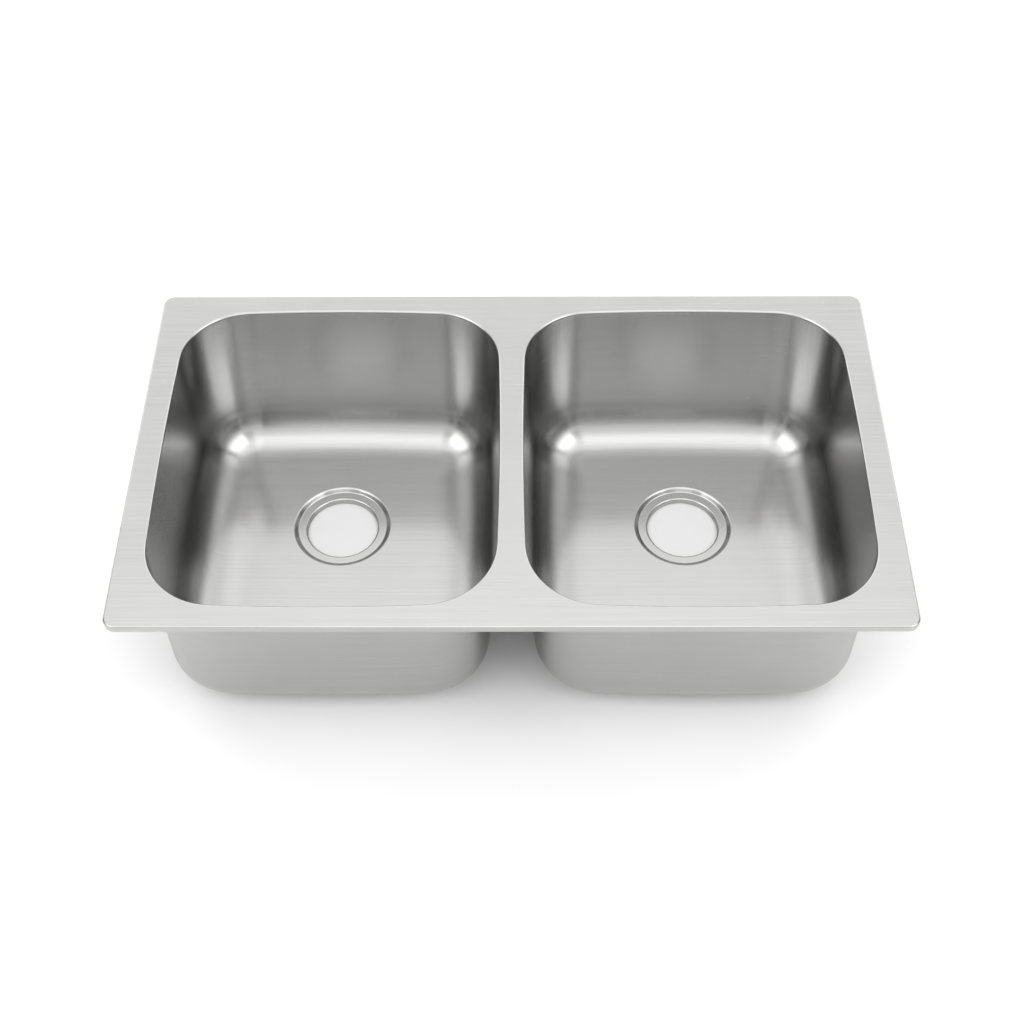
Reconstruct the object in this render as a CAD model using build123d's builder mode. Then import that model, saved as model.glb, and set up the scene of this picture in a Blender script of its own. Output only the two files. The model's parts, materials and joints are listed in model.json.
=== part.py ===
"""Double bowl drop-in kitchen sink: deck, two bowls, rim seal, fixing rails and clips.

Frame: +X to the right, +Y to the rear, +Z up. The origin is in the middle of the deck,
level with the worktop that its folded edge rests on. All lengths are in millimetres.
"""
import os
from math import radians, sqrt, tan

from build123d import *

# ---- Driving dimensions ---------------------------------------------------------

sheet = 1.2                      # steel of the deck and of both bowls

# The mouths of the bowls, measured inside their down-turned flanges
mouth_width = 376.0              # left to right
mouth_length = 421.1             # front to rear
mouth_corner_radius = 78.0
side_bow = 4.4                   # how far a left or right side bulges at its middle
end_bow = 7.2                    # the same for a front or rear side
divider_width = 27.4             # deck between the two mouths
mouth_bend_radius = 2.7          # rolled edge from the deck into the mouth
mouth_flange_height = 5.7        # from the deck's top face to the flange's foot

# The deck around the mouths
side_margin = 29.3               # mouth to the deck's left or right edge
end_margin = 26.45               # mouth to the deck's front or rear edge
deck_corner_radius = 13.0
skirt_height = 8.0               # folded outer edge, from the deck's top face
skirt_bend_radius = 2.0

# The bowls
bowl_depth = 215.0               # deck's top face to the bowl's floor
floor_narrowing = 15.4           # the floor is this much narrower than the mouth
floor_shortening = 6.3           # and this much shorter
floor_lean = 7.8                 # its middle lies this much further from the divider
floor_corner_radius = 66.0
floor_bend_radius = 47.0         # from the walls into the floor
collar_clearance = 0.3           # bowl's top edge below the end of the deck's bend

# The drain seats
drain_radius = 43.5              # for a 3 1/2 inch waste
drain_setback = 51.0             # behind the middle of the bowl
drain_lean = 2.4                 # further from the divider than the floor's middle
seat_radius = 59.3               # where the recess starts in the floor
seat_land = 5.0                  # flat floor kept around the recess
seat_depth = 4.0
seat_edge_radius = 3.0
seat_foot_bend_radius = 2.0
lip_bend_radius = 2.5
lip_height = 7.5                 # from the seat's flat to the lip's foot

# The fixing rails under the deck
rail_width = 9.0
rail_height = 7.0
rail_wall = 0.9
rail_slot = 4.6
rail_gap = 1.2                   # bowl to rail
end_rail_length = 660.0          # front and rear rails
side_rail_length = 290.0         # left and right rails

# The rim seal
seal_width = 6.0
seal_recess = 0.2                # seal above the foot of the skirt

# The fixing clips, shown backed off to their lowest position
bolt_radius = 2.0
bolt_head_length = 9.0
bolt_head_height = 1.8
bolt_tip_spread = 0.4            # spread end that keeps the nut on
bolt_tip_height = 1.0
thread_clearance = 0.05          # nut on bolt
pivot_clearance = 0.08           # claw and washer on bolt
head_side_clearance = 0.2        # bolt head in the rail, each side
stack_clearance = 0.05           # between the bolt's head and the rail, and so on down
nut_across_flats = 7.0
nut_height = 3.2
nut_chamfer_rise = 0.45
washer_radius = 4.4
washer_height = 0.8
claw_thickness = 1.8
claw_heel_radius = 5.0
claw_toe_width = 6.0
claw_reach = 22.0                # bolt's axis to the tip of the toe
claw_slope_start = 5.5           # bolt's axis to the start of the claw's slope
claw_slope_end = 11.5
claw_drop = 7.6                  # plate down to the toe
claw_bend_radius = 1.0
thickest_worktop = 18.0          # worktop that the lowest claw still grips
end_clip_spacing = 230.0         # between neighbouring clips on the front or rear rail

# The sound pads under the bowls
pad_width = 230.0
pad_length = 105.0
pad_thickness = 3.0
pad_corner_radius = 12.0
pad_gap = 8.0                    # drain seat to pad

# ---- Sizes and heights worked out from them ---------------------------------------

deck_width = 2 * (side_margin + mouth_width) + divider_width
deck_depth = 2 * end_margin + mouth_length
deck_top = skirt_height
deck_underside = deck_top - sheet
skirt_foot = 0.0                 # the worktop's surface
flange_foot = deck_top - mouth_flange_height
collar_top = deck_top - mouth_bend_radius - collar_clearance
floor_top = deck_top - bowl_depth

mouth_x = (divider_width + mouth_width) / 2
floor_x = mouth_x + floor_lean
drain_x = floor_x + drain_lean
drain_y = drain_setback
sides = {"left": -1, "right": 1}
mouth_centres = [(side * mouth_x, 0) for side in sides.values()]

bowl_outer_x = mouth_x + mouth_width / 2 + 2 * sheet
bowl_outer_y = mouth_length / 2 + 2 * sheet
rail_x = bowl_outer_x + rail_gap + rail_width / 2
rail_y = bowl_outer_y + rail_gap + rail_width / 2
rail_foot = deck_underside - rail_height
rail_inner_width = rail_width - 2 * rail_wall

bolt_head_foot = rail_foot + rail_wall + stack_clearance
bolt_head_width = rail_inner_width - 2 * head_side_clearance
claw_top = skirt_foot - thickest_worktop + claw_drop
claw_foot = claw_top - claw_thickness
washer_top = claw_foot - stack_clearance
nut_top = washer_top - washer_height - stack_clearance
bolt_tip_top = nut_top - nut_height - stack_clearance

# ---- Shared outlines ----------------------------------------------------------------


def bowl_outline(width, length, corner_radius):
    """A bowl seen from above: four gently bowed sides joined by round corners."""
    corner_x = width / 2 - side_bow
    corner_y = length / 2 - end_bow
    with BuildSketch() as outline:
        with BuildLine():
            front = ThreePointArc((-corner_x, -corner_y), (0, -length / 2), (corner_x, -corner_y))
            right = ThreePointArc(front @ 1, (width / 2, 0), (corner_x, corner_y))
            rear = ThreePointArc(right @ 1, (0, length / 2), (-corner_x, corner_y))
            ThreePointArc(rear @ 1, (-width / 2, 0), front @ 0)
        make_face()
        fillet(outline.vertices(), corner_radius)
    return outline.sketch


def mouth_outline(grow):
    """The mouth's outline, with every side moved outwards by grow."""
    return bowl_outline(mouth_width + 2 * grow, mouth_length + 2 * grow, mouth_corner_radius + grow)


def floor_outline(grow):
    """The outline of the bowl's floor before its bend, moved outwards by grow."""
    return bowl_outline(
        mouth_width - floor_narrowing + 2 * grow,
        mouth_length - floor_shortening + 2 * grow,
        floor_corner_radius + grow,
    )


def level_face(part, height):
    """The flat level face that is nearest to a height."""
    return part.faces().filter_by(Axis.Z).sort_by(lambda face: abs(face.center().Z - height))[0]


# ---- Deck -----------------------------------------------------------------------------

mouth_inside = mouth_outline(0)
mouth_outside = mouth_outline(sheet)

with BuildPart() as deck:
    with BuildSketch(Plane.XY.offset(deck_underside)):
        RectangleRounded(deck_width, deck_depth, deck_corner_radius)
        with Locations(*mouth_centres):
            add(mouth_inside, mode=Mode.SUBTRACT)
    extrude(amount=sheet)
    # Folded outer edge
    with BuildSketch(Plane.XY.offset(skirt_foot)):
        RectangleRounded(deck_width, deck_depth, deck_corner_radius)
        RectangleRounded(
            deck_width - 2 * sheet,
            deck_depth - 2 * sheet,
            deck_corner_radius - sheet,
            mode=Mode.SUBTRACT,
        )
    extrude(amount=skirt_height - sheet)
    # Down-turned flange of each mouth
    with BuildSketch(Plane.XY.offset(flange_foot)):
        with Locations(*mouth_centres):
            add(mouth_outside)
            add(mouth_inside, mode=Mode.SUBTRACT)
    extrude(amount=mouth_flange_height - sheet)
    # Bends: the inside of each bend first, then the outside
    fillet(level_face(deck, deck_underside).inner_wires().edges(), mouth_bend_radius - sheet)
    fillet(level_face(deck, deck_underside).outer_wire().edges(), skirt_bend_radius - sheet)
    fillet(level_face(deck, deck_top).inner_wires().edges(), mouth_bend_radius)
    fillet(level_face(deck, deck_top).outer_wire().edges(), skirt_bend_radius)

# ---- Bowls ------------------------------------------------------------------------------


def bowl_block(grow):
    """The space inside the right bowl as a solid, its walls and floor moved outwards by grow."""
    mouth_plane = Plane(origin=(mouth_x, 0, flange_foot))
    floor_plane = Plane(origin=(floor_x, 0, floor_top - grow))
    wall = mouth_outline(sheet + grow)
    floor = floor_outline(sheet + grow)
    with BuildPart() as block:
        with BuildSketch(mouth_plane):
            add(wall)
        with BuildSketch(floor_plane):
            add(floor)
        loft()
        fillet(block.edges().group_by(Axis.Z)[0], floor_bend_radius + grow)
        # Straight collar around the flange of the deck
        with BuildSketch(mouth_plane):
            add(wall)
        extrude(amount=collar_top - flange_foot)
    return block.part


def seat_profile():
    """Half section of the drain seat, from the floor down to the foot of the lip."""
    slope_shift = sheet * tan(radians(45) / 2)
    rim = seat_radius + seat_land
    foot = seat_radius - seat_depth
    lip_outside = drain_radius + sheet
    with BuildSketch() as profile:
        with BuildLine():
            upper = FilletPolyline(
                (rim, 0),
                (seat_radius, 0),
                (foot, -seat_depth),
                (drain_radius, -seat_depth),
                (drain_radius, -seat_depth - lip_height),
                radius=[seat_edge_radius + sheet, seat_foot_bend_radius, lip_bend_radius],
            )
            lower = FilletPolyline(
                (rim, -sheet),
                (seat_radius + slope_shift, -sheet),
                (foot + slope_shift, -seat_depth - sheet),
                (lip_outside, -seat_depth - sheet),
                (lip_outside, -seat_depth - lip_height),
                radius=[seat_edge_radius, seat_foot_bend_radius + sheet, lip_bend_radius - sheet],
            )
            Line(upper @ 0, lower @ 0)
            Line(upper @ 1, lower @ 1)
        make_face()
    return profile.sketch


seat_centre = (drain_x, drain_y, floor_top)
bowl_outside = bowl_block(sheet)
bowl_inside = bowl_block(0)
seat_section = seat_profile()

with BuildPart() as right_bowl:
    add(bowl_outside)
    add(bowl_inside, mode=Mode.SUBTRACT)
    with BuildSketch(Plane(origin=seat_centre)):
        Circle(seat_radius + seat_land)
    extrude(amount=-sheet, mode=Mode.SUBTRACT)
    with BuildSketch(Plane(origin=seat_centre, x_dir=(1, 0, 0), z_dir=(0, -1, 0))):
        add(seat_section)
    revolve(axis=Axis(seat_centre, (0, 0, 1)))

with BuildPart() as left_bowl:
    mirror(right_bowl.part, about=Plane.YZ)

# ---- Rim seal ----------------------------------------------------------------------------

seal_outer_width = deck_width - 2 * sheet
seal_outer_depth = deck_depth - 2 * sheet
seal_outer_radius = deck_corner_radius - sheet

with BuildPart() as rim_seal:
    with BuildSketch(Plane.XY.offset(skirt_foot + seal_recess)):
        RectangleRounded(seal_outer_width, seal_outer_depth, seal_outer_radius)
        RectangleRounded(
            seal_outer_width - 2 * seal_width,
            seal_outer_depth - 2 * seal_width,
            seal_outer_radius - seal_width,
            mode=Mode.SUBTRACT,
        )
    extrude(amount=skirt_height - sheet - seal_recess)
    # Room for the bend at the top of the skirt
    chamfer(level_face(rim_seal, deck_underside).outer_wire().edges(), skirt_bend_radius - sheet)

# ---- Fixing rails ---------------------------------------------------------------------------


def rail(middle, along, length):
    """A channel open downwards, welded under the deck and centred on a point."""
    start = Vector(*middle) - Vector(*along) * (length / 2)
    section = Plane(origin=start, x_dir=Vector(*along).cross(Vector(0, 0, 1)) * -1, z_dir=along)
    with BuildPart() as channel:
        with BuildSketch(section):
            with Locations((0, -rail_height / 2)):
                Rectangle(rail_width, rail_height)
                Rectangle(rail_inner_width, rail_height - 2 * rail_wall, mode=Mode.SUBTRACT)
            with Locations((0, -rail_height + rail_wall / 2)):
                Rectangle(rail_slot, rail_wall, mode=Mode.SUBTRACT)
        extrude(amount=length)
    return channel


rails = {
    "front_rail": rail((0, -rail_y, deck_underside), (1, 0, 0), end_rail_length),
    "rear_rail": rail((0, rail_y, deck_underside), (1, 0, 0), end_rail_length),
    "left_rail": rail((-rail_x, 0, deck_underside), (0, 1, 0), side_rail_length),
    "right_rail": rail((rail_x, 0, deck_underside), (0, 1, 0), side_rail_length),
}

# ---- Fixing clips ----------------------------------------------------------------------------


def clip_bolt(spot):
    """T-headed bolt that hangs in a rail."""
    with BuildPart() as bolt:
        with BuildSketch(spot.offset(bolt_head_foot)):
            Rectangle(bolt_head_length, bolt_head_width)
        extrude(amount=bolt_head_height)
        with BuildSketch(spot.offset(bolt_tip_top)):
            Circle(bolt_radius)
        extrude(amount=bolt_head_foot - bolt_tip_top)
        with BuildSketch(spot.offset(bolt_tip_top - bolt_tip_height)):
            Circle(bolt_radius + bolt_tip_spread)
        extrude(amount=bolt_tip_height)
    return bolt


def clip_claw(spot):
    """Cranked claw: a plate on the bolt, a slope and a toe that grips the worktop."""
    toe_top = claw_top - claw_drop
    slope_shift = claw_thickness / 2
    side_view = Plane(origin=spot.origin, x_dir=spot.x_dir, z_dir=spot.y_dir * -1)
    with BuildPart() as claw:
        with BuildSketch(side_view):
            with BuildLine():
                upper = FilletPolyline(
                    (-claw_heel_radius, claw_top),
                    (claw_slope_start, claw_top),
                    (claw_slope_end, toe_top),
                    (claw_reach, toe_top),
                    radius=[claw_bend_radius + claw_thickness, claw_bend_radius],
                )
                lower = FilletPolyline(
                    (-claw_heel_radius, claw_foot),
                    (claw_slope_start - slope_shift, claw_foot),
                    (claw_slope_end - slope_shift, toe_top - claw_thickness),
                    (claw_reach, toe_top - claw_thickness),
                    radius=[claw_bend_radius, claw_bend_radius + claw_thickness],
                )
                Line(upper @ 0, lower @ 0)
                Line(upper @ 1, lower @ 1)
            make_face()
        extrude(amount=claw_heel_radius, both=True)
        with BuildSketch(spot.offset(toe_top - claw_thickness)):
            Circle(claw_heel_radius)
            with BuildLine():
                Polyline(
                    (0, -claw_heel_radius),
                    (claw_slope_start, -claw_toe_width / 2),
                    (claw_reach, -claw_toe_width / 2),
                    (claw_reach, claw_toe_width / 2),
                    (claw_slope_start, claw_toe_width / 2),
                    (0, claw_heel_radius),
                    close=True,
                )
            make_face()
            Circle(bolt_radius + pivot_clearance, mode=Mode.SUBTRACT)
        extrude(amount=claw_drop + claw_thickness, mode=Mode.INTERSECT)
    return claw


def clip_washer(spot):
    """Flat washer between the claw and the nut."""
    with BuildPart() as washer:
        with BuildSketch(spot.offset(washer_top - washer_height)):
            Circle(washer_radius)
            Circle(bolt_radius + pivot_clearance, mode=Mode.SUBTRACT)
        extrude(amount=washer_height)
    return washer


def clip_nut(spot):
    """Hexagon nut, chamfered at both ends."""
    corner_radius = nut_across_flats / sqrt(3)
    flat_radius = nut_across_flats / 2
    nut_foot = nut_top - nut_height
    side_view = Plane(origin=spot.origin, x_dir=spot.x_dir, z_dir=spot.y_dir * -1)
    with BuildPart() as nut:
        with BuildSketch(spot.offset(nut_foot)):
            RegularPolygon(corner_radius, 6)
            Circle(bolt_radius + thread_clearance, mode=Mode.SUBTRACT)
        extrude(amount=nut_height)
        with BuildSketch(side_view):
            with BuildLine():
                Polyline(
                    (0, nut_foot),
                    (flat_radius, nut_foot),
                    (corner_radius, nut_foot + nut_chamfer_rise),
                    (corner_radius, nut_top - nut_chamfer_rise),
                    (flat_radius, nut_top),
                    (0, nut_top),
                    close=True,
                )
            make_face()
        revolve(axis=Axis(spot.origin, (0, 0, 1)), mode=Mode.INTERSECT)
    return nut


# Each clip's place, and the way its claw points while it is turned in along the rail
clip_spots = {
    "front_left": ((-end_clip_spacing, -rail_y), (1, 0, 0)),
    "front_middle": ((0, -rail_y), (1, 0, 0)),
    "front_right": ((end_clip_spacing, -rail_y), (1, 0, 0)),
    "rear_left": ((-end_clip_spacing, rail_y), (-1, 0, 0)),
    "rear_middle": ((0, rail_y), (-1, 0, 0)),
    "rear_right": ((end_clip_spacing, rail_y), (-1, 0, 0)),
    "left_side": ((-rail_x, 0), (0, -1, 0)),
    "right_side": ((rail_x, 0), (0, 1, 0)),
}

clip_pieces = {}
for place, (centre, pointing) in clip_spots.items():
    clip_spot = Plane(origin=centre, x_dir=pointing, z_dir=(0, 0, 1))
    clip_pieces[f"{place}_clip_bolt"] = clip_bolt(clip_spot)
    clip_pieces[f"{place}_clip_washer"] = clip_washer(clip_spot)
    clip_pieces[f"{place}_clip_claw"] = clip_claw(clip_spot)
    clip_pieces[f"{place}_clip_nut"] = clip_nut(clip_spot)

# ---- Sound pads -------------------------------------------------------------------------------

pad_y = drain_y - seat_radius - seat_land - pad_gap - pad_length / 2


def sound_pad(side):
    """Rubber pad stuck under a bowl's floor, in front of its drain."""
    with BuildPart() as pad:
        with BuildSketch(Plane(origin=(side * floor_x, pad_y, floor_top - sheet - pad_thickness))):
            RectangleRounded(pad_width, pad_length, pad_corner_radius)
        extrude(amount=pad_thickness)
    return pad


pads = {}
for name, side in sides.items():
    pads[f"{name}_sound_pad"] = sound_pad(side)

# ---- Export -------------------------------------------------------------------------------------

pieces = {"deck": deck, "left_bowl": left_bowl, "right_bowl": right_bowl, "rim_seal": rim_seal}
pieces.update(rails)
pieces.update(pads)
pieces.update(clip_pieces)

os.makedirs("parts", exist_ok=True)
for name, piece in pieces.items():
    piece.part.label = name
    export_step(piece.part, f"parts/{name}.step")
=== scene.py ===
"""Looks of the double bowl kitchen sink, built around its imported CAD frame.

Metres, +Z up, in the CAD's own frame: the origin is in the middle of the deck, at the
height of the worktop's surface.
"""

import json
import math

import bpy
from mathutils import Matrix, Vector


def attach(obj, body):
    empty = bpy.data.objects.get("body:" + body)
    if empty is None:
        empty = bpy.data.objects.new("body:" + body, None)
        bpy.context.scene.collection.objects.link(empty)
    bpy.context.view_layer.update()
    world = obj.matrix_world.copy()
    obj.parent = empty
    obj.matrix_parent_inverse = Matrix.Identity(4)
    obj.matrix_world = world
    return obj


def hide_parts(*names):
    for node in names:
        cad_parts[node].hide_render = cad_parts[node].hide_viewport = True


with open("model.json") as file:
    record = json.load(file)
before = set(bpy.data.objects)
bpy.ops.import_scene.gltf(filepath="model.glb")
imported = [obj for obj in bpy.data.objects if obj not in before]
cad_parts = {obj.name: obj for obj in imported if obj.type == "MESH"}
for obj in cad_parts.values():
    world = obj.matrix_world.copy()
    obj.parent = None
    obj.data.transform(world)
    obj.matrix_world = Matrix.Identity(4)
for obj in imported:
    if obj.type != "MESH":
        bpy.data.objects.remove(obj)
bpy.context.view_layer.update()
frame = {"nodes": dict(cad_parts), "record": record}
nodes = frame["nodes"]

# ---- Sizes of the bowls, in millimetres for the right-hand one --------------------------

MILLIMETRE = 0.001
SHEET = 1.2
MOUTH = (376.0, 421.1, 78.0)      # width, length and corner radius inside the deck's flange
FLOOR = (360.6, 414.8, 66.0)      # the same for the floor, before its bend
SIDE_BOW = 4.4                    # how far a left or right side bulges at its middle
END_BOW = 7.2                     # the same for a front or rear side
MOUTH_X = 201.7
FLOOR_X = 209.5
COLLAR_TOP = 5.0
FLANGE_FOOT = 2.3
FLOOR_TOP = -207.0
FLOOR_BEND = 47.0

DRAIN = (211.9, 51.0)             # the drain's axis
DRAIN_RADIUS = 43.5
LIP_HEIGHT = 7.5                  # from the seat's flat down to the lip's foot
SEAT_RIM = 64.3                   # the floor's sweep towards the drain ends here
SEAT_RADIUS = 59.3                # the recess starts here, with a slope of 45 degrees
SEAT_DEPTH = 4.0
SEAT_BENDS = (4.2, 2.0, 2.5)      # inner radii: into the slope, into the flat and into the lip

# How finely the bowls' skins are divided
SIDE_STEPS = 14
CORNER_STEPS = 24
WALL_ROWS = 10
BEND_ROWS = 24
EASING_ROWS = 5
SEAT_BEND_STEP = 0.16             # radians
LEAST_SEAT_ROWS = 4

# How gently the floor's bend runs out into the floor, at the ends and at the sides
END_SOFTNESS = 7.0
SIDE_SOFTNESS = 38.0

# ---- Camera ---------------------------------------------------------------------------

CAMERA_PLACE = Vector((0.00873, -1.07263, 1.31399))
CAMERA_PITCH = 0.92561            # below the horizon, in radians
CAMERA_TURN = 0.00818
CAMERA_ROLL = -0.00744
CAMERA_LENS = 53.352
SENSOR_WIDTH = 36.0
NEAREST = 0.01
FARTHEST = 50.0


def make_camera():
    forward = Vector((
        -math.sin(CAMERA_TURN) * math.cos(CAMERA_PITCH),
        math.cos(CAMERA_TURN) * math.cos(CAMERA_PITCH),
        -math.sin(CAMERA_PITCH),
    ))
    level = Vector((math.cos(CAMERA_TURN), math.sin(CAMERA_TURN), 0))
    rise = Vector((
        -math.sin(CAMERA_TURN) * math.sin(CAMERA_PITCH),
        math.cos(CAMERA_TURN) * math.sin(CAMERA_PITCH),
        math.cos(CAMERA_PITCH),
    ))
    right = math.cos(CAMERA_ROLL) * level + math.sin(CAMERA_ROLL) * rise
    up = -math.sin(CAMERA_ROLL) * level + math.cos(CAMERA_ROLL) * rise
    data = bpy.data.cameras.new("camera")
    data.lens = CAMERA_LENS
    data.sensor_width = SENSOR_WIDTH
    data.sensor_fit = "HORIZONTAL"
    data.clip_start = NEAREST
    data.clip_end = FARTHEST
    camera = bpy.data.objects.new("camera", data)
    bpy.context.scene.collection.objects.link(camera)
    turn = Matrix((right, up, -forward)).transposed()
    camera.matrix_world = Matrix.Translation(CAMERA_PLACE) @ turn.to_4x4()
    bpy.context.scene.camera = camera


# ---- Node helpers -----------------------------------------------------------------------

# Where a Mix node has the first of its two values and its result, for each kind of value
MIX_SOCKETS = {"FLOAT": (2, 0), "RGBA": (6, 2)}


class Nodes:
    """A small wrapper round a node tree: add nodes, set their inputs and link them."""

    def __init__(self, tree):
        self.tree = tree
        self.tree.nodes.clear()

    def add(self, kind, **settings):
        """A new node, with inputs or properties set by their names."""
        node = self.tree.nodes.new(kind)
        for key, value in settings.items():
            socket = node.inputs.get(key.replace("_", " ").title())
            if socket is None:
                setattr(node, key, value)
            else:
                self.put(socket, value)
        return node

    def put(self, socket, value):
        """Links an input to another node's output, or sets it."""
        if isinstance(value, bpy.types.NodeSocket):
            self.tree.links.new(value, socket)
        else:
            socket.default_value = value

    def place(self):
        """The spot on the surface, in the object's own frame."""
        return self.add("ShaderNodeTexCoord").outputs["Object"]

    def math(self, operation, a, b=0.0, c=0.0):
        node = self.add("ShaderNodeMath", operation=operation)
        for socket, value in zip(node.inputs, (a, b, c)):
            self.put(socket, value)
        return node.outputs[0]

    def lift(self, value, spread, base):
        """A base with so much of a value on top."""
        return self.math("MULTIPLY_ADD", value, spread, base)

    def swing(self, noise, spread, base, middle=0.5):
        """A base that a noise moves up and down about its middle."""
        return self.lift(self.math("SUBTRACT", noise, middle), spread, base)

    def spread(self, noise, low, high):
        """A noise's usual run of values, from a quarter to three quarters, mapped to a range."""
        node = self.add("ShaderNodeMapRange", value=noise, from_min=0.25, from_max=0.75)
        self.put(node.inputs["To Min"], low)
        self.put(node.inputs["To Max"], high)
        return node.outputs["Result"]

    def ease(self, value, low, high):
        """A smooth step from 0 to 1 while a value goes from low to high."""
        node = self.add("ShaderNodeMapRange", value=value, from_min=low, from_max=high)
        node.interpolation_type = "SMOOTHSTEP"
        return node.outputs["Result"]

    def blend(self, factor, a, b, kind="FLOAT"):
        node = self.add("ShaderNodeMix", data_type=kind)
        first, result = MIX_SOCKETS[kind]
        self.put(node.inputs["Factor"], factor)
        self.put(node.inputs[first], a)
        self.put(node.inputs[first + 1], b)
        return node.outputs[result]

    def vector(self, operation, a, b):
        node = self.add("ShaderNodeVectorMath", operation=operation)
        self.put(node.inputs[0], a)
        self.put(node.inputs[1], b)
        return node.outputs[0]

    def split(self, vector):
        return self.add("ShaderNodeSeparateXYZ", vector=vector).outputs

    def join(self, x, y, z):
        return self.add("ShaderNodeCombineXYZ", x=x, y=y, z=z).outputs[0]

    def noise(self, vector, scale=1.0, detail=2.0, rough=0.5):
        node = self.add("ShaderNodeTexNoise", vector=vector, scale=scale, detail=detail, roughness=rough)
        return node.outputs["Fac"]


def new_material(name):
    material = bpy.data.materials.new(name)
    material.use_nodes = True
    return material, Nodes(material.node_tree)


# ---- Stage and studio light ---------------------------------------------------------------

STAGE_Z = -0.2187                 # just under the lips of the drain openings
STAGE_HALF = 6.0
STAGE_LEVEL = 0.84

# Brightness of the sky at each height above the horizon, in degrees
HEIGHTS = (0, 15, 25, 35, 45, 51, 55, 65, 78, 90)
FRONT_LIGHT = (0.6, 0.9, 1.1, 1.2, 1.3, 1.1, 2.3, 2.1, 2.4, 1.5)
GAP_LIGHT = (0.6, 0.9, 1.4, 0.75, 0.85, 1.0, 1.5, 1.7, 2.1, 1.5)
SIDE_LIGHT = (0.0, 0.3, 1.4, 2.0, 3.3, 3.4, 3.4, 1.8, 1.65, 1.5)
FLANK_LIGHT = (0.0, 0.1, 0.3, 0.4, 0.5, 0.7, 0.9, 1.7, 1.65, 1.5)
REAR_LIGHT = (0.3, 1.8, 3.0, 1.6, 1.15, 1.3, 1.45, 1.7, 1.65, 1.5)
LIGHT_TOP = 5.0                   # top of the scale that those runs are stored on
# Each run after the first takes over between two turns away from the front, in degrees
TURNS = ((16, 24), (39, 46), (88, 100), (118, 136))


def make_stage():
    data = bpy.data.meshes.new("stage_floor")
    corners = [(x * STAGE_HALF, y * STAGE_HALF, STAGE_Z) for x, y in ((-1, -1), (1, -1), (1, 1), (-1, 1))]
    data.from_pydata(corners, [], [(0, 1, 2, 3)])
    floor = bpy.data.objects.new("stage_floor", data)
    bpy.context.scene.collection.objects.link(floor)
    material, net = new_material("stage_white")
    paint = net.add("ShaderNodeBsdfDiffuse", color=(STAGE_LEVEL, STAGE_LEVEL, STAGE_LEVEL, 1))
    net.add("ShaderNodeOutputMaterial", surface=paint.outputs[0])
    data.materials.append(material)


def make_world():
    """A studio whose walls and ceiling glow, with a run of brightness for each of five directions."""
    world = bpy.data.worlds.new("studio")
    bpy.context.scene.world = world
    world.use_nodes = True
    net = Nodes(world.node_tree)
    x, y, z = net.split(net.add("ShaderNodeTexCoord").outputs["Generated"])
    height = net.math("DIVIDE", net.math("ARCSINE", net.math("MAXIMUM", z, 0.0)), math.pi / 2)
    turn = net.math("ARCTAN2", net.math("ABSOLUTE", x), net.math("MULTIPLY", y, -1.0))

    def glow(run):
        ramp = net.add("ShaderNodeFloatCurve", value=height)
        curve = ramp.mapping.curves[0]
        ramp.mapping.use_clip = False
        # The curve has two points from the start
        for _ in HEIGHTS[2:]:
            curve.points.new(0.5, 0.5)
        for point, degrees, level in zip(curve.points, HEIGHTS, run):
            point.location = (degrees / 90, level / LIGHT_TOP)
            point.handle_type = "VECTOR"
        ramp.mapping.update()
        return ramp.outputs[0]

    total = glow(FRONT_LIGHT)
    for edge, run in zip(TURNS, (GAP_LIGHT, SIDE_LIGHT, FLANK_LIGHT, REAR_LIGHT)):
        total = net.blend(net.ease(turn, *map(math.radians, edge)), total, glow(run))
    strength = net.math("MULTIPLY", total, LIGHT_TOP)
    back = net.add("ShaderNodeBackground", color=(1, 1, 1, 1), strength=strength)
    net.add("ShaderNodeOutputWorld", surface=back.outputs[0])


# ---- Materials ----------------------------------------------------------------------------

# Satin steel: its brightness on the deck, in the bowls and outside them
DECK_LEVEL = 0.5
BOWL_LEVEL = 0.48
OUTSIDE_SHADED_LEVEL = 0.42              # a darker copy of the steel for the bowls' outsides: painted shade on the outer walls
STEEL_TINT = (1.0, 1.0, 0.99)
SIDE_SHADE_LEVEL = 0.66                  # painted shade: walls that face sideways get a darker base colour, for their darker look under the studio light
SIDE_SHADE_TURN = (0.70, 0.95)          # sideways part of a face's normal while that painted shade comes in

# How rough it is, and how much rougher across the brushing than along it
WALL_ROUGHNESS = 0.23
WALL_BRUSHING = 0.85
OUTSIDE_BRUSHING = 0.2
LEVEL_ROUGHNESS = 0.18
LEVEL_BRUSHING = 0.3
# Upright part of a face's normal while the walls' lines and gloss give way to the floor's
LINES_TURN = (0.55, 0.95)
GLOSS_TURN = (0.93, 0.9995)

# Brushing: lines to a metre across them and along them, and the noise's detail
HAIR_LINES = (850.0, 4.0, 3.0)
BAND_LINES = (260.0, 5.0, 2.0)
HAIR_CONTRAST = 0.09
HAIR_DEPTH = 0.000012             # in metres
BAND_CONTRAST = 0.03
BAND_WEAR = 0.05
CLOUD_CONTRAST = 0.04
CLOUD_WEAR = 0.05

# Stray scuffs: scale of the noise that bends them, their stretch, how rare and how rough they are
SCUFF_DRIFT = 9.0
SCUFF_STRETCH = (420.0, 23.0, 60.0)
SCUFF_RARITY = 9.0
SCUFF_WEAR = 0.6

# Turned lines in the drain seats: to a metre outwards and round, and where they end, in metres
TURNED_LINES = 1900.0
TURNED_DRIFT = 12.0
TURNED_RADIUS = 0.0602
TURNED_CEILING = -0.2

ZINC_BLUE = (0.60, 0.62, 0.66, 1)
ZINC_YELLOW = (0.69, 0.67, 0.58, 1)


def finish_material(name, metal):
    """A new material with its Principled shader: (material, nodes, shader)."""
    material, net = new_material(name)
    shader = net.add("ShaderNodeBsdfPrincipled", metallic=metal)
    net.add("ShaderNodeOutputMaterial", surface=shader.outputs[0])
    return material, net, shader


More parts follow.
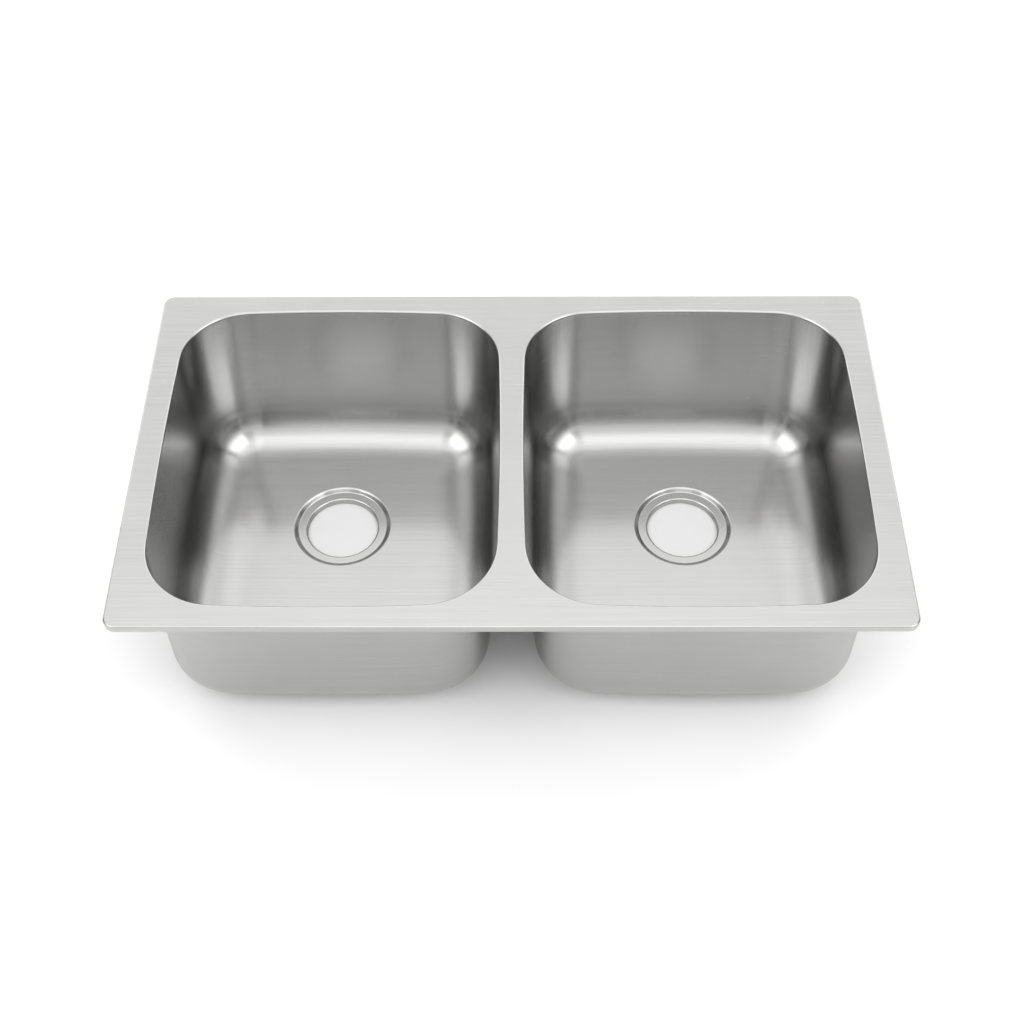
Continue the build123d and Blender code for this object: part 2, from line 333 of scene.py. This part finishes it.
def shade(net, tint, value):
    """A tint at a brightness."""
    scaled = net.add("ShaderNodeVectorMath", operation="SCALE", scale=value)
    net.put(scaled.inputs[0], tint)
    return scaled.outputs[0]


def bump(net, shader, height, strength, distance):
    node = net.add("ShaderNodeBump", strength=strength, distance=distance, height=height)
    net.put(shader.inputs["Normal"], node.outputs[0])


def seat_lines(net, place):
    """The drain seats' turned lines, and 1 where they lie and 0 elsewhere."""
    x, y, z = net.split(place)
    sides = (
        net.math("SUBTRACT", net.math("ABSOLUTE", x), DRAIN[0] * MILLIMETRE),
        net.math("SUBTRACT", y, DRAIN[1] * MILLIMETRE),
    )
    radius = net.math("SQRT", net.math("ADD", *(net.math("MULTIPLY", side, side) for side in sides)))
    outwards = net.math("MULTIPLY", radius, TURNED_LINES)
    ring = net.join(outwards, *(net.math("MULTIPLY", side, TURNED_DRIFT) for side in sides))
    near = net.math("LESS_THAN", radius, TURNED_RADIUS)
    low = net.math("LESS_THAN", z, TURNED_CEILING)
    return net.noise(ring, detail=2.0, rough=0.6), net.math("MULTIPLY", near, low)


def satin_steel(name, level, wall_brushing=WALL_BRUSHING):
    """Finely brushed steel: lines run left to right on level faces and level round the walls."""
    material, net, wall_shader = finish_material(name, 1.0)
    place = net.place()
    facing = net.split(net.add("ShaderNodeNewGeometry").outputs["Normal"])
    sideways = net.math("ABSOLUTE", facing[0])
    upright = net.math("ABSOLUTE", facing[2])
    level_part = net.ease(upright, *LINES_TURN)
    turned, in_seat = seat_lines(net, place)

    def lines(across, along, detail):
        """Brushing noise with so many lines to a metre across them and along them."""
        wall_place = net.vector("MULTIPLY", place, (along, along, across))
        level_place = net.vector("MULTIPLY", place, (along, across, along))
        on_wall = net.noise(wall_place, detail=detail, rough=0.6)
        on_level = net.noise(level_place, detail=detail, rough=0.6)
        return net.blend(in_seat, net.blend(level_part, on_wall, on_level), turned)

    hair = lines(*HAIR_LINES)
    bands = lines(*BAND_LINES)
    clouds = net.noise(place, scale=14.0, detail=3.0, rough=0.55)
    drift = net.add("ShaderNodeTexNoise", scale=SCUFF_DRIFT).outputs["Color"]
    slant = net.vector("MULTIPLY", net.vector("ADD", place, drift), SCUFF_STRETCH)
    scuff = net.math("POWER", net.noise(slant, detail=1.0), SCUFF_RARITY)

    value = net.swing(hair, HAIR_CONTRAST, level)
    value = net.swing(bands, BAND_CONTRAST, value)
    value = net.swing(clouds, CLOUD_CONTRAST, value)
    # Painted shade: the base colour is darkened on walls that face sideways
    side_shade = net.lift(net.ease(sideways, *SIDE_SHADE_TURN), spread=SIDE_SHADE_LEVEL - 1.0, base=1.0)
    colour = shade(net, STEEL_TINT, net.math("MULTIPLY", value, side_shade))
    wear = net.swing(bands, BAND_WEAR, net.math("MULTIPLY", scuff, SCUFF_WEAR))
    wear = net.swing(clouds, CLOUD_WEAR, wear)

    # Brushing spreads reflections across its lines: up and down on walls, front to rear on level faces
    level_shader = net.add("ShaderNodeBsdfPrincipled", metallic=1.0)
    for shader, across, roughness, brushing in (
        (wall_shader, (0, 0, 1), WALL_ROUGHNESS, wall_brushing),
        (level_shader, (0, 1, 0), LEVEL_ROUGHNESS, LEVEL_BRUSHING),
    ):
        shader.inputs["Anisotropic"].default_value = brushing
        net.put(shader.inputs["Base Color"], colour)
        net.put(shader.inputs["Roughness"], net.math("ADD", wear, roughness))
        net.put(shader.inputs["Tangent"], net.join(*across))
        bump(net, shader, hair, strength=0.25, distance=HAIR_DEPTH)
    both = net.add("ShaderNodeMixShader")
    net.put(both.inputs[0], net.ease(upright, *GLOSS_TURN))
    net.put(both.inputs[1], wall_shader.outputs[0])
    net.put(both.inputs[2], level_shader.outputs[0])
    net.put(net.tree.get_output_node("ALL").inputs["Surface"], both.outputs[0])
    return material


def rail_steel():
    """Galvanised strip: a spangle of dull crystals with rolling marks."""
    material, net, shader = finish_material("rail_steel_finish", 1.0)
    place = net.place()
    cells = net.add("ShaderNodeTexVoronoi", vector=place, scale=260.0)
    brightness, roughness, height = net.add("ShaderNodeSeparateColor", color=cells.outputs["Color"]).outputs
    marks = net.noise(net.vector("MULTIPLY", place, (40.0, 40.0, 2200.0)), detail=2.0, rough=0.6)
    stains = net.noise(place, scale=35.0, detail=4.0, rough=0.6)
    value = net.swing(stains, spread=0.16, base=net.lift(brightness, spread=0.10, base=0.46))
    net.put(shader.inputs["Base Color"], shade(net, (0.985, 1.0, 1.01), value))
    rough = net.lift(stains, spread=0.12, base=net.lift(roughness, spread=0.14, base=0.32))
    net.put(shader.inputs["Roughness"], rough)
    bump(net, shader, net.lift(height, spread=0.4, base=marks), strength=0.3, distance=0.00002)
    return material


def zinc_hardware():
    """Bright zinc plate with a faint rainbow, finger-dulled in places."""
    material, net, shader = finish_material("zinc_hardware_finish", 1.0)
    place = net.place()
    drift = net.noise(place, scale=90.0, detail=3.0, rough=0.6)
    grain = net.noise(place, scale=1800.0, detail=2.0, rough=0.6)
    tint = net.blend(net.spread(drift, low=0.0, high=1.0), ZINC_BLUE, ZINC_YELLOW, "RGBA")
    net.put(shader.inputs["Base Color"], shade(net, tint, net.lift(grain, spread=0.12, base=0.93)))
    net.put(shader.inputs["Roughness"], net.spread(drift, low=0.20, high=0.36))
    bump(net, shader, grain, strength=0.2, distance=0.00002)
    return material


def foam_seal():
    """Closed-cell foam: small cells with a dusty skin."""
    material, net, shader = finish_material("foam_seal_finish", 0.0)
    place = net.place()
    cells = net.add("ShaderNodeTexVoronoi", vector=place, scale=1400.0).outputs["Distance"]
    dust = net.noise(place, scale=60.0, detail=4.0, rough=0.6)
    value = net.swing(dust, spread=0.05, base=net.lift(cells, spread=0.05, base=0.032), middle=0.4)
    net.put(shader.inputs["Base Color"], shade(net, (1.0, 1.0, 1.03), value))
    net.put(shader.inputs["Roughness"], net.spread(dust, low=0.82, high=0.96))
    bump(net, shader, cells, strength=0.7, distance=0.00015)
    return material


def pad_rubber():
    """Bitumen rubber: pebbled, matt, and rubbed smoother in patches."""
    material, net, shader = finish_material("pad_rubber_finish", 0.0)
    place = net.place()
    pebbles = net.noise(place, scale=700.0, detail=3.0, rough=0.55)
    rubbed = net.noise(place, scale=30.0, detail=3.0, rough=0.6)
    value = net.swing(rubbed, spread=0.022, base=net.lift(pebbles, spread=0.020, base=0.008))
    net.put(shader.inputs["Base Color"], shade(net, (1.0, 1.0, 1.02), value))
    net.put(shader.inputs["Roughness"], net.spread(rubbed, low=0.60, high=0.82))
    bump(net, shader, pebbles, strength=0.6, distance=0.0003)
    return material


# ---- The bowls as smooth pressed sheet ------------------------------------------------------


def outline(width, length, corner, grow):
    """Points and steps round a bowl's outline: four bowed sides joined by round corners."""
    half_x, half_y, corner = width / 2 + grow, length / 2 + grow, corner + grow
    side_radius = ((half_y - END_BOW) ** 2 + SIDE_BOW ** 2) / (2 * SIDE_BOW)
    end_radius = ((half_x - SIDE_BOW) ** 2 + END_BOW ** 2) / (2 * END_BOW)
    side_centre = Vector((half_x - side_radius, 0))
    end_centre = Vector((0, half_y - end_radius))
    # The corner's centre lies at a set distance from both
    gap = end_centre - side_centre
    reach, other = side_radius - corner, end_radius - corner
    along = (reach ** 2 - other ** 2 + gap.length_squared) / (2 * gap.length)
    across = math.sqrt(reach ** 2 - along ** 2)
    way = gap.normalized()
    corner_centre = side_centre + way * along + Vector((-way.y, way.x)) * across
    start = math.atan2(*(corner_centre - side_centre).yx)
    stop = math.atan2(*(corner_centre - end_centre).yx)
    arcs = (
        (side_centre, side_radius, 0.0, start, SIDE_STEPS),
        (corner_centre, corner, start, stop, CORNER_STEPS),
        (end_centre, end_radius, stop, math.pi / 2, SIDE_STEPS),
    )
    quarter = []
    for centre, radius, low, high, steps in arcs:
        for step in range(steps):
            angle = low + (high - low) * step / steps
            speed = radius * (high - low) / steps
            quarter.append((
                centre + radius * Vector((math.cos(angle), math.sin(angle))),
                speed * Vector((-math.sin(angle), math.cos(angle))),
            ))
    last = (Vector((0, half_y)), Vector((-quarter[-1][1].length, 0)))
    half = quarter + [last]
    half += [(Vector((-spot.x, spot.y)), Vector((step.x, -step.y))) for spot, step in reversed(quarter[1:])]
    return half + [(-spot, -step) for spot, step in half]


def section(points, radii):
    """A filleted line of (distance, height) points as (point, normal) pairs."""
    spots = []
    points = [Vector(point) for point in points]
    for i, point in enumerate(points):
        if i in (0, len(points) - 1):
            way = (points[1] - point if i == 0 else point - points[-2]).normalized()
            spots.append((point, Vector((way.y, -way.x))))
            continue
        before = (point - points[i - 1]).normalized()
        after = (points[i + 1] - point).normalized()
        turn = math.atan2(before.x * after.y - before.y * after.x, before.dot(after))
        radius = radii[i - 1]
        start = point - before * radius * math.tan(abs(turn) / 2)
        facing = Vector((before.y, -before.x))
        side = 1 if turn > 0 else -1
        centre = start - side * radius * facing
        rows = max(LEAST_SEAT_ROWS, round(abs(turn) / SEAT_BEND_STEP))
        for row in range(rows + 1):
            angle = turn * row / rows
            normal = Vector((
                facing.x * math.cos(angle) - facing.y * math.sin(angle),
                facing.x * math.sin(angle) + facing.y * math.cos(angle),
            ))
            spots.append((centre + side * radius * normal, normal))
    return spots


def drain_seat(grow):
    """The drain seat from its rim down to its lip's foot: distance from the axis and height."""
    shift = grow * math.tan(math.pi / 8)
    points = (
        (SEAT_RIM, -grow),
        (SEAT_RADIUS + shift, -grow),
        (SEAT_RADIUS - SEAT_DEPTH + shift, -SEAT_DEPTH - grow),
        (DRAIN_RADIUS + grow, -SEAT_DEPTH - grow),
        (DRAIN_RADIUS + grow, -SEAT_DEPTH - LIP_HEIGHT),
    )
    top_bend, foot_bend, lip_bend = SEAT_BENDS
    return section(points, (top_bend - grow, foot_bend + grow, lip_bend - grow))


def bowl_skin(grow):
    """Columns of (point, normal) from the collar down the wall, round the bend and into the seat."""
    floor_z = FLOOR_TOP - grow
    bend = FLOOR_BEND + grow
    upwards = Vector((0, 0, 1))
    mouth = [(spot + Vector((MOUTH_X, 0)), step) for spot, step in outline(*MOUTH, SHEET + grow)]
    foot = [(spot + Vector((FLOOR_X, 0)), step) for spot, step in outline(*FLOOR, SHEET + grow)]
    seat = drain_seat(grow)
    columns = []
    for (top, top_step), (low, low_step) in zip(mouth, foot):
        ruling = (low - top).to_3d() + Vector((0, 0, floor_z - FLANGE_FOOT))

        def at(share):
            """The wall's point and normal at a share of the way down."""
            step = top_step.lerp(low_step, share).to_3d()
            return top.to_3d() + Vector((0, 0, FLANGE_FOOT)) + ruling * share, step.cross(ruling).normalized()

        # The wall ends where the bend begins, which hangs on the wall's lean there
        share = 0.8
        for _ in range(3):
            normal = at(share)[1]
            share = (floor_z + bend * (1 - normal.z) - FLANGE_FOOT) / ruling.z
        column = [(top.to_3d() + Vector((0, 0, COLLAR_TOP)), at(0)[1])]
        column += [at(share * row / WALL_ROWS) for row in range(WALL_ROWS + 1)]
        point, normal = column[-1]
        centre = point + normal * bend
        sweep = normal.angle(upwards)
        soft = END_SOFTNESS + (SIDE_SOFTNESS - END_SOFTNESS) * normal.x ** 2

        def leaning(angle):
            """The bend's normal at an angle from the floor's."""
            return (math.sin(angle) * normal + math.sin(sweep - angle) * upwards) / math.sin(sweep)

        def eased(distance):
            """The shaded lean so far before the floor's edge, or past it where negative."""
            if abs(distance) >= soft:
                return max(distance, 0) / bend
            return (distance + soft) ** 2 / (4 * soft * bend)

        for row in range(1, BEND_ROWS + 1):
            angle = sweep * (1 - row / BEND_ROWS)
            column.append((centre - bend * leaning(angle), leaning(eased(angle * bend))))
        edge = column[-1][0]
        away = (edge.xy - Vector(DRAIN)).normalized()
        rim = (Vector(DRAIN) + away * SEAT_RIM).to_3d() + Vector((0, 0, edge.z))
        inward = (rim - edge).normalized()
        for row in range(1, EASING_ROWS + 1):
            past = soft * row / EASING_ROWS
            column.append((edge + inward * past, leaning(eased(-past))))
        for spot, facing in seat:
            column.append((
                (Vector(DRAIN) + away * spot.x).to_3d() + Vector((0, 0, FLOOR_TOP + spot.y)),
                (away * facing.x).to_3d() + Vector((0, 0, facing.y)),
            ))
        columns.append(column)
    return columns


def make_bowl(name, side, skins, finishes):
    """One bowl: the skin inside, the skin outside, and the edges that join them."""
    inside, outside = skins
    loops = [
        column + [(spot, -facing) for spot, facing in reversed(other)]
        for column, other in zip(inside, outside)
    ]
    rows, columns = len(loops[0]), len(loops)
    mirror = Vector((side, 1, 1))
    spots = [spot * mirror * MILLIMETRE for column in loops for spot, _ in column]
    normals = [facing * mirror for column in loops for _, facing in column]
    faces = []
    face_finishes = []
    for i in range(columns):
        for j in range(rows):
            face = (
                i * rows + j,
                i * rows + (j + 1) % rows,
                (i + 1) % columns * rows + (j + 1) % rows,
                (i + 1) % columns * rows + j,
            )
            faces.append(face if side < 0 else face[::-1])
            # The first finish is for the inside, down to the lip's foot, and the second, a darker copy with
            # painted shade, for the rest
            face_finishes.append(int(j >= len(inside[0]) - 1))
    data = bpy.data.meshes.new(name)
    data.from_pydata(spots, [], faces)
    data.validate()
    for finish in finishes:
        data.materials.append(finish)
    data.polygons.foreach_set("use_smooth", [True] * len(data.polygons))
    data.polygons.foreach_set("material_index", face_finishes)
    data.normals_split_custom_set_from_vertices(normals)
    bowl = bpy.data.objects.new(name, data)
    bpy.context.scene.collection.objects.link(bowl)
    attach(bowl, "sink")
    return bowl


# ---- The scene ------------------------------------------------------------------------------

make_camera()
make_stage()
make_world()
finishes = {
    "satin_steel": satin_steel("satin_steel_deck", DECK_LEVEL),
    "rail_steel": rail_steel(),
    "zinc_hardware": zinc_hardware(),
    "foam_seal": foam_seal(),
    "pad_rubber": pad_rubber(),
}
# The outside finish is a darker copy of the bowl steel: painted shade on the outer walls
bowl_finishes = (
    satin_steel("satin_steel_bowl", BOWL_LEVEL),
    satin_steel("satin_steel_outside_shaded", OUTSIDE_SHADED_LEVEL, OUTSIDE_BRUSHING),
)
for row in frame["record"]["subparts"]:
    node = nodes[row["node"]]
    node.data.materials.clear()
    node.data.materials.append(finishes[row["material_slot"]])
skins = (bowl_skin(0.0), bowl_skin(SHEET))
for side, node in ((-1, "left_bowl"), (1, "right_bowl")):
    bowl = make_bowl(f"{node}_skin", side, skins, bowl_finishes)
    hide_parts(node)

scene = bpy.context.scene
scene.view_settings.view_transform = "Standard"
